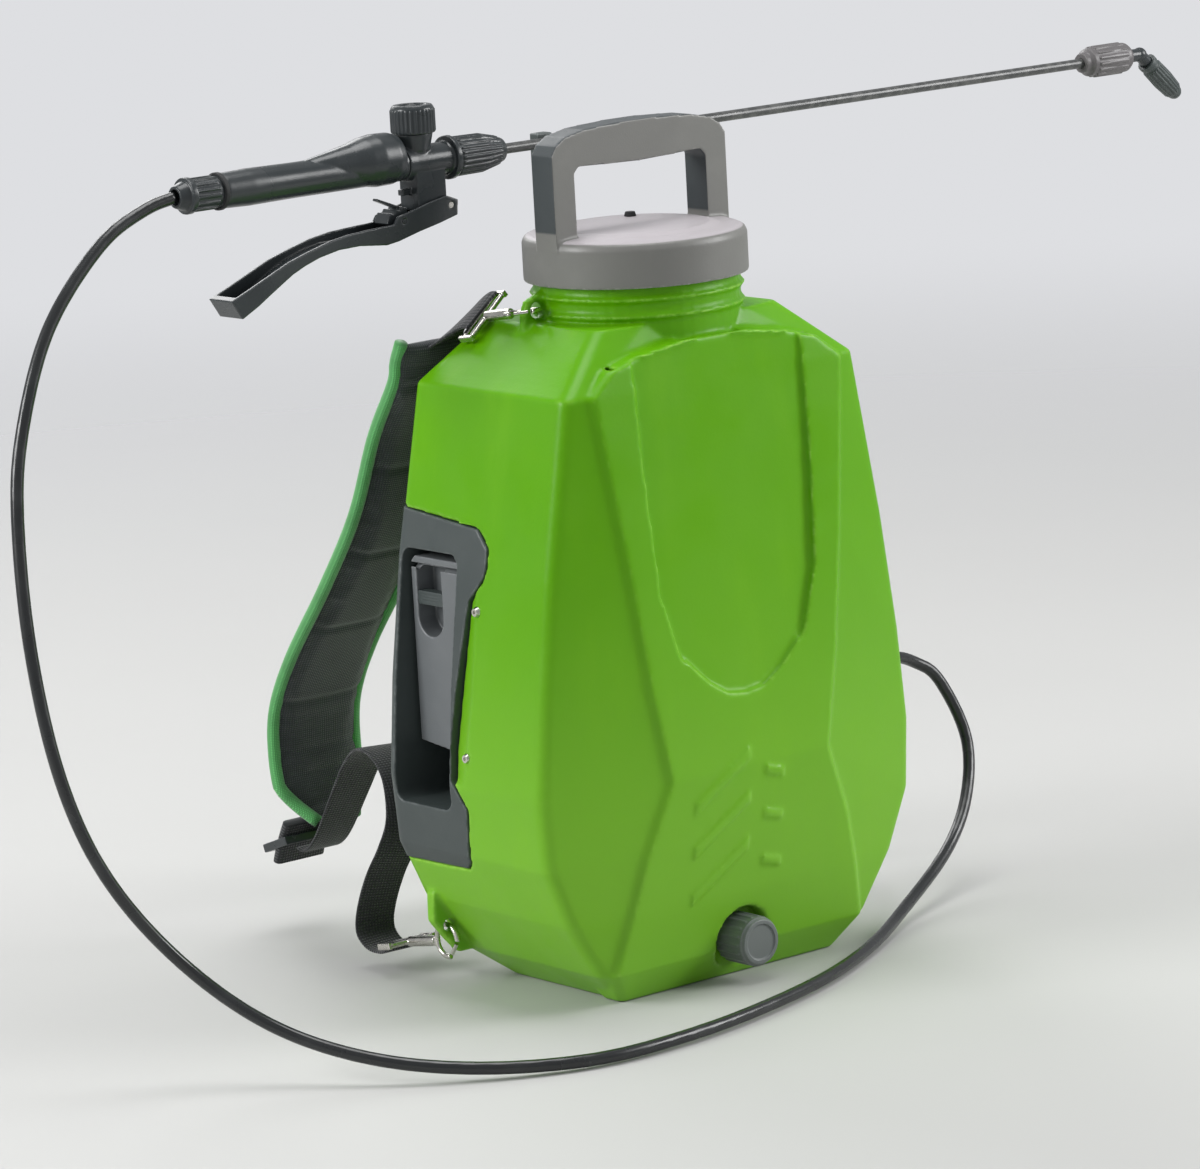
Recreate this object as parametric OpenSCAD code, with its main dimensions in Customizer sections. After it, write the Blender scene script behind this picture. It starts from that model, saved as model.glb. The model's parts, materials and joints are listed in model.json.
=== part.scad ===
// Battery knapsack sprayer with a hand lance.
// Origin on the floor under the filler neck; +X right seen from the front,
// -Y is the front that faces away from the wearer, +Z up.

/* [Tank] */
// Half width of the tank at its waist
tank_half_w = 161; // [155:1:165]
// Height of the tank's widest level, where the front panel is narrowest
waist_z = 147; // [140:1:155]
// Height of the shoulder edge
shoulder_z = 402; // [395:1:408]
// Height of the crown that carries the neck
crown_z = 440; // [436:1:442]
// Wall thickness of the blow-moulded shell
wall = 3; // [2.5:0.5:3.5]

/* [Neck and lid] */
// Outer radius of the filler neck
neck_r = 68; // [66:1:68]
// Outer radius of the screw lid
lid_r = 74; // [73:1:74]
// Height of the lid's skirt edge
lid_z = 464; // [463:1:466]
// Height of the lid's top face
lid_top_z = 494; // [493:1:496]
// Height of the top of the handle
handle_top_z = 566; // [560:1:570]
// Half width of the handle
handle_half_w = 74; // [70:1:74]

/* [Battery side] */
// Depth position of the bay floor on the battery side
bay_floor_x = 98; // [94:1:100]

/* [Wand] */
// Distance of the lance behind the neck axis
wand_y = 83; // [83:0.5:84]
// Height of the lance axis
wand_z = 546; // [545:1:549]
// Radius of the lance tube
tube_r = 3.5; // [3:0.5:4]
// Radius of the hose
hose_r = 4.4; // [4:0.1:4.5]

/* [Harness] */
// Distance of each strap's centre line from the middle
strap_x = 92; // [90:1:94]
// Width of a padded shoulder strap
pad_w = 76; // [66:1:78]
// Width of the upper webbing
web_w = 34; // [30:1:36]
// Width of the lower webbing
lower_web_w = 30; // [24:1:31]

/* [Hidden] */
$fn = 48;
eps = 0.2;

green = "yellowgreen";
grey = "gray";
charcoal = "dimgray";
black = "#2b2d2f";
steel = "silver";
brass = "goldenrod";
rubber = "#222222";

// ---- Shared shapes -------------------------------------------------------

module mirror_pair() {
    children();
    mirror([1, 0, 0]) children();
}

// A box given by its low and high corners.
module box(low, high) {
    translate(low) cube([for (i = [0:2]) high[i] - low[i]]);
}

// A rod between two points, at any angle.
module rod(a, b, r) {
    d = b - a;
    translate(a) rotate([0, acos(d[2] / norm(d)), atan2(d[1], d[0])]) cylinder(r = r, h = norm(d));
}

// A closed tube, turned about +X from (x, r) corners.
module turned_x(corners) {
    rotate([90, 0, 90]) rotate_extrude() polygon([for (c = corners) [c[1], c[0]]]);
}

module ring(r_in, r_out, h) {
    difference() {
        cylinder(r = r_out, h = h);
        translate([0, 0, -1]) cylinder(r = r_in, h = h + 2);
    }
}

// Point t along a smooth curve through the points p.
function spline(p, i, t) =
    let (a = p[max(i - 1, 0)], b = p[i], c = p[i + 1], d = p[min(i + 2, len(p) - 1)])
    0.5 * ((2 * b) + (c - a) * t + (2 * a - 5 * b + 4 * c - d) * t * t + (3 * b - a - 3 * c + d) * t * t * t);
function smooth_path(p, steps) = [
    for (i = [0:len(p) - 2], k = [0:steps - 1]) spline(p, i, k / steps),
    p[len(p) - 1]
];
function unit(v) = v / norm(v);
function tangent(p, i) = unit(p[min(i + 1, len(p) - 1)] - p[max(i - 1, 0)]);

// A closed skin over rings of the given number of points.
module skin(points, sides) {
    last = len(points) - sides;
    faces = [
        [for (k = [0:sides - 1]) sides - 1 - k],
        [for (k = [0:sides - 1]) last + k],
        for (i = [0:sides:last - sides], k = [0:sides - 1])
            let (a = i + k, b = i + (k + 1) % sides)
            each [[a, b, b + sides], [a, b + sides, a + sides]]
    ];
    polyhedron(points = points, faces = faces);
}

// A round bar of radius r along a path that never runs along ref.
module sweep(path, r, sides, ref) {
    skin([
        for (i = [0:len(path) - 1])
            let (t = tangent(path, i), b = unit(cross(t, ref)), n = cross(b, t))
            for (k = [0:sides - 1]) path[i] + r * (cos(360 * k / sides) * b + sin(360 * k / sides) * n)
    ], sides);
}

// A strap of width w and thickness t along a path; its width turns from the direction first to last.
module ribbon(path, w, t, first, last) {
    n = len(path) - 1;
    skin([
        for (i = [0:n])
            let (a = unit(first + (last - first) * pow(i / n, 2)), out = unit(cross(tangent(path, i), a)))
            for (c = [[1, 1], [1, -1], [-1, -1], [-1, 1]]) path[i] + c[0] * w / 2 * a + c[1] * t / 2 * out
    ], 4);
}

// A coil spring of the given radius and height, standing on z = 0.
module coil(r, h, turns, wire_r) {
    n = turns * 14;
    sweep([for (i = [0:n]) [r * cos(360 * turns * i / n), r * sin(360 * turns * i / n), wire_r + (h - 2 * wire_r) * i / n]],
        wire_r, 6, [0, 0, 1]);
}

// A band of thickness t that follows 2D points, extruded to the width w about x = 0.
function side_of(p, i, s) =
    let (d = unit(p[min(i + 1, len(p) - 1)] - p[max(i - 1, 0)])) p[i] + s * [-d[1], d[0]];
module band(points, t, w) {
    n = len(points) - 1;
    outline = [
        for (i = [0:n]) side_of(points, i, t / 2),
        for (i = [n:-1:0]) side_of(points, i, -t / 2)
    ];
    rotate([90, 0, 90]) translate([0, 0, -w / 2]) linear_extrude(w) polygon(outline);
}

// ---- Tank ---------------------------------------------------------------

// Each level of the tank: height, half width, front-edge y, front panel's half width and y, back y.
levels = [
    [0, 90, -50, 90, -58, 62],
    [22, 116, -66, 106, -72, 84],
    [60, 141, -69, 97, -80, 88],
    [100, 158, -70, 86, -86, 90],
    [waist_z, tank_half_w, -70, 67, -92, 91],
    [210, 155, -71, 79, -90, 91],
    [290, 144, -71, 90, -87, 90],
    [shoulder_z, 124, -71, 105, -79, 86],
    [crown_z, 78, -50, 40, -60, 66]
];
// The front panel runs on above the shoulder as an arched hood: height, half width, y.
hood = [[417, 86, -77], [424, 60, -76], [429, 25, -75.5]];
waist = 4;
edge_r = 9;
// Height and bevel of the front panel's step.
step = 4;

module tank_section(level, grow) {
    front = level[4] + step;
    translate([0, 0, level[0]]) linear_extrude(eps) offset(r = edge_r + grow, $fn = 24) offset(delta = -edge_r)
        polygon([
            [-level[1], level[5]], [-level[1], level[2]], [-level[3] - step, front],
            [level[3] + step, front], [level[1], level[2]], [level[1], level[5]]
        ]);
}

module panel_section(z, half, y, grow) {
    w = half + grow;
    translate([0, 0, z]) linear_extrude(eps)
        polygon([[-w - step, -40], [-w - step, y + step], [-w, y - grow], [w, y - grow], [w + step, y + step], [w + step, -40]]);
}

module panel_at(level, grow) {
    panel_section(level[0], level[3], level[4], grow);
}

module tank_outer(grow = 0) {
    hull() for (i = [0:waist]) tank_section(levels[i], grow);
    hull() for (i = [waist:8]) tank_section(levels[i], grow);
    hull() for (i = [0:waist]) panel_at(levels[i], grow);
    hull() {
        for (i = [waist:7]) panel_at(levels[i], grow);
        for (h = hood) panel_section(h[0], h[1], h[2], grow);
    }
}

drain_z = 27;
pocket_floor_y = -62;
pocket_r = 22;
pump_low = [104, -4, 70];
pump_high = [200, 110, 232];
housing_screw_spots = [[8, 166], [2, 262]];
cover_screw_spots = [[7, 84], [7, 218]];
holder_screw_heights = [338, 362];
fin_hole = [-72, 18, 448];
lug_hole = [-133.5, 72, 40];

// The recess that holds the battery housing, as Y and Z corners.
bay_corners = [
    [110, 88], [18, 90], [12, 96], [8, 132], [22, 150], [23, 172], [19, 206], [10, 268], [-3, 283], [-6, 290],
    [-6, 303], [6, 315], [110, 324]
];
module battery_bay(gap = 0) {
    prism_x(-200, -bay_floor_x - gap) offset(delta = -gap) polygon(bay_corners);
}

// The flange strip beside the housing slopes inwards towards it.
strip_corners = [[-11, 285], [-9, 266], [-5, 210], [2, 146], [30, 150], [30, 206], [20, 268], [6, 284]];
module flange_strip() {
    intersection() {
        prism_x(-200, -130) polygon(strip_corners);
        translate([-157, -8, 218]) rotate([0, 7.2, -18]) box([-60, -30, -90], [0, 60, 90]);
    }
}

module tank_cavity() {
    difference() {
        intersection() {
            tank_outer(-wall);
            box([-200, -200, wall], [200, 200, crown_z - wall]);
        }
        box([-200, -14, 79], [-bay_floor_x + wall, 110, 330]);
        box([pump_low[0] - wall, -12, 64], [200, 110, 238]);
        // wall behind the badge recess
        rotate([-panel_lean, 0, 0]) box([-77, -140, 186], [77, wall - recess_y, 432]);
        translate([0, -110, drain_z]) rotate([-90, 0, 0]) cylinder(r = pocket_r + wall, h = 110 + pocket_floor_y + wall);
        box([-120, 80, 100], [120, 110, 116]);
    }
}

// Lean of the front panel above its waist, in degrees.
panel_lean = 3.1;
// Distance of the badge recess's floor from the origin, square to the leaning panel.
recess_y = 97.3;
// Half of the shield outline of the badge recess, mirrored about the middle.
shield = [[0, 426], [72, 418], [70, 330], [66, 264], [53, 222], [30, 201], [15, 192], [0, 190]];

module badge_recess() {
    rotate([-panel_lean, 0, 0]) translate([0, -recess_y, 0]) rotate([90, 0, 0]) linear_extrude(40)
        polygon(concat(shield, [for (k = [len(shield) - 1:-1:0]) [-shield[k][0], shield[k][1]]]));
}

// Three raised chevrons low on the front panel.
module chevrons() {
    for (z = [60, 92, 122])
        intersection() {
            translate([0, -70, 0]) rotate([90, 0, 0]) linear_extrude(50) {
                polygon([[-48, z], [-2, z + 30], [-2, z + 37], [-48, z + 7]]);
                polygon([[12, z + 17], [27, z + 13], [27, z + 18], [12, z + 22]]);
            }
            tank_outer(1.6);
        }
}

module neck() {
    translate([0, 0, crown_z - 34]) cylinder(r = neck_r, h = 486 - crown_z + 34);
    for (z = [crown_z + 5, crown_z + 16])
        translate([0, 0, z]) rotate_extrude()
            polygon([[neck_r - 4, -3.5], [neck_r + 1.5, -1.5], [neck_r + 3, 0], [neck_r + 1.5, 1.5], [neck_r - 4, 3.5]]);
}

module fin_lug() {
    translate([0, fin_hole[1] + 3, 0]) rotate([90, 0, 0]) linear_extrude(6)
        polygon([[-44, 436], [-44, 462], [-62, 462], [-80, 455], [-84, 446], [-86, 424]]);
}

// A flat lug at each rear corner for the lower hook.
module corner_lug() {
    translate([0, lug_hole[1] + 4, 0]) rotate([90, 0, 0]) linear_extrude(8)
        polygon([[-105, 20], [-126, 20], [-134.5, 29.5], [-147, 45], [-146, 64], [-130, 74], [-105, 60]]);
}

module tank_shell() {
    color(green) difference() {
        union() {
            difference() {
                tank_outer();
                badge_recess();
            }
            chevrons();
            neck();
            mirror_pair() fin_lug();
            mirror_pair() corner_lug();
        }
        tank_cavity();
        battery_bay();
        box(pump_low, pump_high);
        flange_strip();
        // filler bore with a ledge for the strainer
        translate([0, 0, crown_z - 20]) cylinder(r = 60, h = 100);
        translate([0, 0, 478]) cylinder(r = 63, h = 20);
        // drain pocket
        translate([0, -110, drain_z]) rotate([-90, 0, 0]) difference() {
            cylinder(r = pocket_r, h = 110 + pocket_floor_y);
            translate([0, 0, 110 - 76]) cylinder(r = 11, h = 60);
        }
        translate([0, -110, drain_z]) rotate([-90, 0, 0]) cylinder(r = 8, h = 60);
        // hook holes
        mirror_pair() translate(fin_hole) rotate([90, 0, 0]) cylinder(r = 5.5, h = 20, center = true);
        mirror_pair() translate(lug_hole) rotate([90, 0, 0]) cylinder(r = 4.5, h = 20, center = true);
        // groove for the cable across the back
        box([-120, 84, 104], [120, 120, 112]);
        // seats and pilot holes of the housing screws
        for (p = housing_screw_spots) translate([-200, p[0], p[1]]) rotate([0, 90, 0]) {
            cylinder(r = 4.4, h = 200 + strip_x(p) + 1);
            cylinder(r = 1.6, h = 80);
        }
        // pilot holes of the cover and holder screws
        for (p = cover_screw_spots)
            translate([pump_low[0] - 2.8, p[0], p[1]]) rotate([0, 90, 0]) cylinder(r = 1.6, h = 20);
        for (z = holder_screw_heights) translate([0, 85.4, z]) rotate([-90, 0, 0]) cylinder(r = 2, h = 20);
        // suction port
        translate([90, 50, 105]) rotate([0, 90, 0]) cylinder(r = 6.1, h = 20);
    }
}

// ---- Neck, lid and drain --------------------------------------------------

module filler_strainer() {
    color(black) difference() {
        union() {
            translate([0, 0, 478.2]) cylinder(r = 62.5, h = 2.6);
            translate([0, 0, 398]) cylinder(r = 59, h = 81);
        }
        translate([0, 0, 400]) cylinder(r = 57, h = 90);
        for (a = [0:30:330], r = [16, 32, 47])
            rotate(a) translate([r, 0, 390]) cylinder(r = 3, h = 20, $fn = 24);
        for (a = [15:30:345], z = [415, 435, 455])
            rotate(a) translate([50, 0, z]) rotate([0, 90, 0]) cylinder(r = 6, h = 20, $fn = 24);
    }
}

module lid_gasket() {
    color(rubber) translate([0, 0, 486.05]) ring(61, 66.8, 2.8);
}

vent_spot = [24, 32];
module handle_outline() {
    w = handle_half_w;
    t = handle_top_z;
    difference() {
        polygon([
            [-w, 488], [-w, t - 16], [-w + 4, t - 10], [-w + 12, t - 5], [-45, t - 1.5], [-15, t], [15, t],
            [45, t - 1.5], [w - 12, t - 5], [w - 4, t - 10], [w, t - 16], [w, 488]
        ]);
        polygon([
            [-w + 18, 480], [-w + 18, t - 30], [-w + 22, t - 25], [-30, t - 26], [0, t - 27], [30, t - 26],
            [w - 22, t - 25], [w - 18, t - 30], [w - 18, 480]
        ]);
    }
}

module lid() {
    color(grey) difference() {
        union() {
            rotate_extrude() polygon([
                [0, 480], [lid_r, 480], [lid_r, lid_top_z - 5], [lid_r - 1.5, lid_top_z - 1.5],
                [lid_r - 5, lid_top_z], [56, lid_top_z + 1], [50, lid_top_z + 3], [0, lid_top_z + 3]
            ]);
            translate([0, 0, lid_z]) cylinder(r = lid_r, h = 20);
            intersection() {
                translate([0, 11, 0]) rotate([90, 0, 0]) linear_extrude(21) handle_outline();
                cylinder(r = 75, h = 600);
            }
        }
        translate([0, 0, lid_z - 1]) cylinder(r = neck_r + 0.4, h = 489 - lid_z + 1);
        translate([vent_spot[0], vent_spot[1], 480]) cylinder(r = 3, h = 30);
    }
}

module vent_valve() {
    color(rubber) translate([vent_spot[0], vent_spot[1], 0]) {
        translate([0, 0, lid_top_z + 3.1]) cylinder(r1 = 4.2, r2 = 3.2, h = 3);
        translate([0, 0, 489.2]) cylinder(r = 2.9, h = lid_top_z + 3.2 - 489.2);
    }
}

module along_minus_y(y) {
    translate([0, y, drain_z]) rotate([90, 0, 0]) children();
}

module drain_gasket() {
    color(rubber) along_minus_y(-76.05) ring(8, 10.8, 2.2);
}

module drain_cap() {
    color(grey) along_minus_y(-65) difference() {
        union() {
            cylinder(r = 16.4, h = 24.5);
            translate([0, 0, 23]) cylinder(r1 = 16.4, r2 = 14.8, h = 4);
            for (a = [0:20:340]) rotate(a) translate([15.8, 0, 0]) cylinder(r = 1.3, h = 22, $fn = 16);
        }
        translate([0, 0, -1]) cylinder(r = 11.1, h = 14.4);
        translate([0, 0, 26]) cylinder(r = 12, h = 3);
    }
}

// ---- Battery side ---------------------------------------------------------

bay_open_y = [24, 82];
bay_open_z = [129, 296];

// A square with rounded corners, from low to high.
module rounded_rect(low, high, r) {
    translate([low[0] + r, low[1]]) square([high[0] - low[0] - 2 * r, high[1] - low[1]]);
    translate([low[0], low[1] + r]) square([high[0] - low[0], high[1] - low[1] - 2 * r]);
    for (x = [low[0] + r, high[0] - r], y = [low[1] + r, high[1] - r]) translate([x, y]) circle(r);
}

// A prism along X from x0 to x1 over a YZ outline.
module prism_x(x0, x1) {
    translate([x0, 0, 0]) rotate([90, 0, 90]) linear_extrude(x1 - x0) children();
}

module battery_housing() {
    color(charcoal) difference() {
        intersection() {
            battery_bay(0.3);
            tank_outer(0.8);
        }
        prism_x(-200, -104) rounded_rect([bay_open_y[0], bay_open_z[0]], [bay_open_y[1], bay_open_z[1]], 8);
    }
    color(charcoal) box([-148, 23, 128], [-102, 35, 135]);
}

battery_low = [-139, 26, 160];
battery_high = [-106.6, 80, 290];
latch_z = 258;
finger_y = [49, 75];

module battery_contacts() {
    color(brass) for (y = [34, 68]) box([-106.2, y, 176], [-104, y + 4, 250]);
}

// X of the sloping flange strip at a screw.
function strip_x(p) = -157 + (p[0] + 8) * tan(18) + (p[1] - 218) * tan(7.2);

module housing_screws() {
    color(steel) for (p = housing_screw_spots)
        translate([strip_x(p) + 0.9, p[0], p[1]]) rotate([0, -90, 0]) {
            difference() {
                cylinder(r1 = 3.6, r2 = 2.6, h = 2.4);
                translate([0, 0, 1.4]) cylinder(r = 1.4, h = 2, $fn = 6);
            }
            translate([0, 0, -14]) cylinder(r = 1.5, h = 14.2);
        }
}

module battery_pack() {
    low = battery_low;
    high = battery_high;
    mid = (finger_y[0] + finger_y[1]) / 2;
    color(grey) difference() {
        prism_x(low[0], high[0]) polygon([
            [low[1], low[2]], [high[1], low[2] + 6], [high[1], high[2] - 4], [high[1] - 4, high[2]],
            [low[1] + 4, high[2]], [low[1], high[2] - 4]
        ]);
        prism_x(low[0] - 1, low[0] + 15) {
            rounded_rect([finger_y[0], 248], [finger_y[1], 283], 2);
            translate([mid, 250]) circle((finger_y[1] - finger_y[0]) / 2);
        }
        // channels that slide over the contacts
        for (y = [34, 68]) box([high[0] - 2, y - 1, 100], [high[0] + 1, y + 5, 262]);
        translate([low[0] - 1, low[1] - 1, high[2] - 6]) rotate([0, 45, 0]) cube([5, 60, 8]);
    }
}

module battery_latch() {
    color(charcoal) difference() {
        prism_x(battery_low[0] + 0.5, battery_low[0] + 8.5)
            rounded_rect([finger_y[0] + 0.3, latch_z], [finger_y[1] - 0.3, latch_z + 9], 1.5);
        for (z = [2.6, 4.6, 6.6])
            box([battery_low[0], finger_y[0] + 4, latch_z + z - 0.4], [battery_low[0] + 1, finger_y[1] - 4, latch_z + z + 0.4]);
    }
}

module latch_spring() {
    color(steel) translate([battery_low[0] + 8.6, 58, latch_z + 4.5]) rotate([0, 90, 0]) coil(2.8, 6.3, 4, 0.4);
}

// ---- Pump side --------------------------------------------------------------

outlet_y = 24;
outlet_z = 160;
panel_x = 140;
switch_y = 36;
knob_y = 62;
controls_z = 200;

// Half width of the tank at a height between two neighbouring levels.
function half_between(z, i) =
    let (a = levels[i], b = levels[i + 1]) a[1] + (b[1] - a[1]) * (z - a[0]) / (b[0] - a[0]);
function half_w(z) = [for (i = [0:7]) if (z >= levels[i][0] && z < levels[i + 1][0]) half_between(z, i)][0];

module pump_cover() {
    color(charcoal) difference() {
        intersection() {
            box([pump_low[0], pump_low[1] + 0.4, pump_low[2] + 0.4], [200, 110, pump_high[2] - 0.4]);
            tank_outer(0.8);
        }
        difference() {
            intersection() {
                box([0, pump_low[1] + 3, pump_low[2] + 3], [200, 110, pump_high[2] - 3]);
                tank_outer(-wall);
            }
            box([panel_x - 3, 16, 173], [200, 80, 227]);
            for (p = cover_screw_spots) translate([0, p[0], p[1]]) rotate([0, 90, 0]) cylinder(r = 5, h = 200);
        }
        prism_x(panel_x, 200) rounded_rect([19, 176], [77, 224], 6);
        box([panel_x - 4, switch_y - 11, controls_z - 12], [panel_x + 1, switch_y + 11, controls_z + 12]);
        translate([0, knob_y, controls_z]) rotate([0, 90, 0]) cylinder(r = 3.1, h = 200);
        translate([0, outlet_y, outlet_z]) rotate([0, 90, 0]) cylinder(r = 7.1, h = 200);
        for (p = cover_screw_spots) translate([0, p[0], p[1]]) rotate([0, 90, 0]) {
            cylinder(r = 1.8, h = 200);
            translate([0, 0, half_w(p[1]) - 5]) cylinder(r = 3.8, h = 30);
        }
    }
}

module cover_screws() {
    color(steel) for (p = cover_screw_spots)
        translate([0, p[0], p[1]]) rotate([0, 90, 0]) {
            translate([0, 0, half_w(p[1]) - 4.9]) difference() {
                cylinder(r = 3.4, h = 2.4);
                translate([0, 0, 1.2]) cylinder(r = 1.5, h = 2, $fn = 6);
            }
            translate([0, 0, pump_low[0] - 2.6]) cylinder(r = 1.5, h = half_w(p[1]) - 4.8 - pump_low[0] + 2.6);
        }
}

motor_spot = [130, 50];
module pump_motor() {
    color(steel) translate([motor_spot[0], motor_spot[1], 118.1]) {
        cylinder(r = 18, h = 50);
        cylinder(r = 8, h = 54);
        for (y = [-9, 9]) translate([0, y, 50]) cylinder(r = 1.5, h = 6, $fn = 24);
    }
}

module pump_head() {
    color(black) difference() {
        union() {
            translate([0, 0, 88]) linear_extrude(30) rounded_rect([110, 16], [147, 72], 5);
            translate([motor_spot[0], motor_spot[1], 84]) cylinder(r = 14, h = 5);
        }
        translate([109, 50, 105]) rotate([0, 90, 0]) cylinder(r = 4, h = 12);
        translate([117, outlet_y, 108]) cylinder(r = 3, h = 12);
    }
}

module pressure_switch() {
    color(brass) translate([132, 15.9, 103]) rotate([90, 0, 0]) {
        cylinder(r = 8, h = 7);
        cylinder(r = 4, h = 11);
    }
}

module control_board() {
    color("darkgreen") box([107, 22, 176], [108.6, 78, 224]);
    color(black) {
        box([108.6, 28, 184], [113, 42, 198]);
        box([108.6, 50, 182], [116, 60, 192]);
        for (y = [50, 62]) translate([108.6, y, 208]) rotate([0, 90, 0]) cylinder(r = 4, h = 9);
    }
    color(grey) for (y = [26, 74], z = [180, 220]) translate([pump_low[0], y, z]) rotate([0, 90, 0]) cylinder(r = 2.5, h = 3);
}

module suction_tube() {
    color(black) difference() {
        union() {
            translate([78, 50, 105]) rotate([0, 90, 0]) cylinder(r = 6, h = 31.9);
            translate([78, 50, 32]) cylinder(r = 6, h = 73);
            translate([78, 50, 105]) sphere(r = 6.8);
        }
        translate([78, 50, 105]) rotate([0, 90, 0]) cylinder(r = 4, h = 60);
        translate([78, 50, 31]) cylinder(r = 4, h = 74);
    }
}

module suction_filter() {
    color(brass) translate([78, 50, 6]) difference() {
        cylinder(r = 13, h = 30);
        translate([0, 0, 2]) cylinder(r = 11, h = 26);
        translate([0, 0, 20]) cylinder(r = 6.1, h = 12);
        for (a = [0:30:330], z = [7, 15, 23]) rotate(a) translate([8, 0, z]) rotate([0, 90, 0]) cylinder(r = 2.2, h = 8, $fn = 16);
    }
}

module discharge_tube() {
    color(black) {
        sweep(smooth_path([
            [117, outlet_y, 118.2], [117, outlet_y, 135], [117, outlet_y, 148], [122, outlet_y, 157],
            [132, outlet_y, outlet_z], [145.9, outlet_y, outlet_z]
        ], 4), 3.8, 16, [0, 1, 0]);
    }
}

module outlet_fitting() {
    color(brass) translate([146, outlet_y, outlet_z]) rotate([0, 90, 0]) difference() {
        union() {
            cylinder(r = 10, h = 9.4, $fn = 6);
            cylinder(r = 7, h = 27);
        }
        translate([0, 0, -1]) cylinder(r = 3, h = 40);
    }
}

module power_cable() {
    color(rubber) translate([-97, 87.4, 108]) rotate([0, 90, 0]) cylinder(r = 2.8, h = 200.6);
}

module power_switch() {
    color("firebrick") translate([panel_x + 1, switch_y, controls_z]) rotate([0, -6, 0]) difference() {
        box([-1.6, -10, -10.5], [3.6, 10, 10.5]);
        translate([16.2, -11, 0]) rotate([-90, 0, 0]) cylinder(r = 14, h = 22);
    }
}

module pressure_knob() {
    color(black) translate([panel_x, knob_y, controls_z]) rotate([0, 90, 0]) {
        translate([0, 0, 0.4]) difference() {
            cylinder(r = 10, h = 12);
            for (a = [0:30:330]) rotate(a) translate([11, 0, 1]) cylinder(r = 1.8, h = 20, $fn = 16);
            translate([-0.8, 2, 11.2]) cube([1.6, 7, 2]);
        }
        translate([0, 0, -12]) cylinder(r = 3, h = 13);
    }
}

// ---- Hose and lance holder -------------------------------------------------

hose_x = 173.2;
hose_points = [
    [hose_x, outlet_y, outlet_z], [186, outlet_y, outlet_z], [208, 28, 161], [245, 37, 160], [268, 40, 152], [284, 34, 138],
    [295, 20, 96], [275, 2, 58], [236, -17, 30], [163, -52, 10], [100, -90, 5], [27, -128, 5], [-50, -153, 5],
    [-125, -167, 5], [-203, -165, 5], [-271, -132, 8], [-321, -85, 17], [-359, -34, 38], [-396, 6, 80],
    [-440, 16, 141], [-463, 25, 207], [-468, 40, 288], [-461, 54, 367], [-447, 63, 418], [-415, 74, 477],
    [-367, 81, 523], [-330, wand_y, 541], [-307, wand_y, wand_z]
];

module hose() {
    color(black) sweep(smooth_path(hose_points, 4), hose_r, 10, [0.15, 1, -0.25]);
}

module hose_nut() {
    color(charcoal) translate([162.5, outlet_y, outlet_z]) rotate([0, 90, 0]) difference() {
        union() {
            cylinder(r = 10, h = 12);
            translate([0, 0, 12]) cylinder(r1 = 10, r2 = 7, h = 8);
            for (a = [0:30:330]) rotate(a) translate([9.6, 0, 1]) cylinder(r = 1, h = 10, $fn = 16);
        }
        translate([0, 0, -1]) cylinder(r = 7.2, h = 12);
        cylinder(r = hose_r + 0.8, h = 30);
    }
}

cradle_y = [78, 91];
module lance_holder() {
    color(charcoal) difference() {
        union() {
            box([-6, 91, 360], [6, 96, 552]);
            box([-13, 91, 328], [13, 96, 374]);
            box([-6, cradle_y[0], 535], [6, cradle_y[1] + 1, 552]);
            for (z = holder_screw_heights) translate([0, 88.7, z]) rotate([-90, 0, 0]) cylinder(r = 7, h = 3);
        }
        translate([-20, wand_y, wand_z]) rotate([0, 90, 0]) cylinder(r = tube_r + 0.2, h = 40);
        box([-20, wand_y - tube_r - 0.2, wand_z], [20, wand_y + tube_r + 0.2, 560]);
        for (z = holder_screw_heights) translate([0, 80, z]) rotate([-90, 0, 0]) cylinder(r = 2.2, h = 30);
    }
}

module holder_screws() {
    color(steel) for (z = holder_screw_heights) translate([0, 96.1, z]) rotate([-90, 0, 0]) {
        difference() {
            cylinder(r1 = 4, r2 = 3, h = 2.4);
            translate([0, 0, 1.4]) cylinder(r = 1.5, h = 2, $fn = 6);
        }
        translate([0, 0, -10.4]) cylinder(r = 1.8, h = 10.5);
    }
}

// ---- Harness ------------------------------------------------------------------

pad_path = [
    [99, 414], [103, 400], [128, 362], [155, 306], [194, 252], [236, 200], [259, 160], [263, 125], [257, 98], [243, 80]
];
upper_web_path = [[-84, 58.5, 446.6], [-84.5, 66, 445.4], [-88, 77, 438], [-91, 88, 428], [-92, 96, 419.2], [-92, 98.3, 416.8]];
lower_web_path = [
    [-133.5, 117, 23], [-133.5, 117, 18.5], [-133.5, 121, 16.2], [-133.5, 130, 14], [-133.5, 142, 15.5],
    [-133.5, 151, 24], [-133, 149, 40], [-132, 138, 64], [-130, 124, 86], [-127, 117, 106], [-124, 122, 130],
    [-120, 138, 143], [-116, 160, 146], [-112, 182, 132], [-109, 205, 104], [-107, 228, 74], [-106, 243, 62],
    [-106, 252, 63]
];

module shoulder_pad(side) {
    color(black) translate([side * strap_x, 0, 0]) band(smooth_path(pad_path, 3), 9, pad_w);
}
module shoulder_pad_left() {
    shoulder_pad(-1);
}
module shoulder_pad_right() {
    shoulder_pad(1);
}

module upper_webbing() {
    color(black) mirror_pair()
        ribbon(smooth_path(upper_web_path, 3), web_w, 2, [cos(upper_twist), 0, sin(upper_twist)], [1, 0, 0]);
}

module lower_webbing() {
    color(black) mirror_pair() ribbon(smooth_path(lower_web_path, 3), lower_web_w, 2, [1, 0, 0], [1, 0, 0]);
}

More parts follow.
